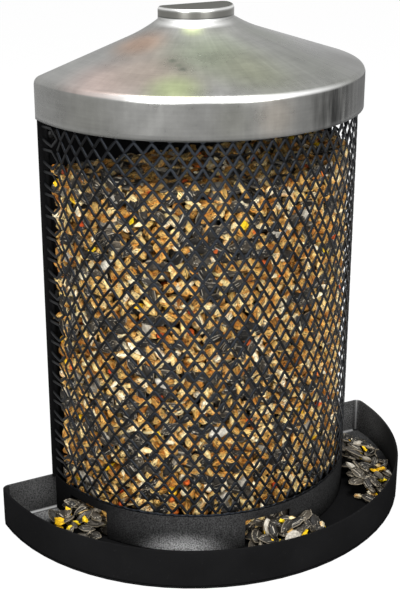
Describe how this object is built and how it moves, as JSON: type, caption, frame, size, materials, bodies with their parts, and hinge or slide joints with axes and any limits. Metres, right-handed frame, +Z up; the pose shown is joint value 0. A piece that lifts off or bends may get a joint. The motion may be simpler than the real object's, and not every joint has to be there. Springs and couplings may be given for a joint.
{
  "type": "seed bird feeder",
  "caption": "Half-round wall-mounted seed feeder: expanded-mesh hopper on a D-shaped tray with feed ports, flat back plate and a lift-off half-cone metal lid.",
  "frame": {"origin": "middle of the outline on the ground, under the tray floor", "axes": "+X to the right seen from the front, +Y towards the wall, +Z up"},
  "size_m": [0.2306, 0.1172, 0.2681],
  "materials": {
    "black_powder_coat": "satin black powder coat",
    "mesh_coat": "semi-gloss blue-black coat on expanded steel",
    "lid_steel": "lightly brushed galvanised steel, mottled on the slope",
    "rivet_steel": "black-coated rivet",
    "seed_mix": "dry mixed seed: striped sunflower, cracked corn, kernels"
  },
  "bodies": {
    "feeder": {"back_plate": "black_powder_coat", "mesh_angle_left": "black_powder_coat", "mesh_angle_right": "black_powder_coat", "mesh_top_hoop": "black_powder_coat", "base_band": "black_powder_coat", "mesh_panel_1": "mesh_coat", "mesh_panel_2": "mesh_coat", "mesh_panel_3": "mesh_coat", "mesh_panel_4": "mesh_coat", "mesh_panel_5": "mesh_coat", "mesh_panel_6": "mesh_coat", "mesh_panel_7": "mesh_coat", "mesh_panel_8": "mesh_coat", "seed_baffle": "black_powder_coat", "tray_floor": "black_powder_coat", "tray_front_wall": "black_powder_coat", "tray_back_wall": "black_powder_coat", "tray_rivet_1": "rivet_steel", "tray_rivet_2": "rivet_steel", "tray_rivet_3": "rivet_steel", "tray_rivet_4": "rivet_steel", "angle_rivet_left_1": "rivet_steel", "angle_rivet_left_2": "rivet_steel", "angle_rivet_left_3": "rivet_steel", "angle_rivet_right_1": "rivet_steel", "angle_rivet_right_2": "rivet_steel", "angle_rivet_right_3": "rivet_steel", "seed_fill": "seed_mix", "seed_pile_left": "seed_mix", "seed_pile_front": "seed_mix", "seed_pile_right": "seed_mix"},
    "lid": {"lid_shell": "lid_steel", "lid_back_panel": "lid_steel"}
  },
  "joints": [
    {"name": "lid_lift", "type": "slide", "parent": "feeder", "child": "lid", "axis": [0, 0, 1], "range_m": [0, 0.06]}
  ]
}
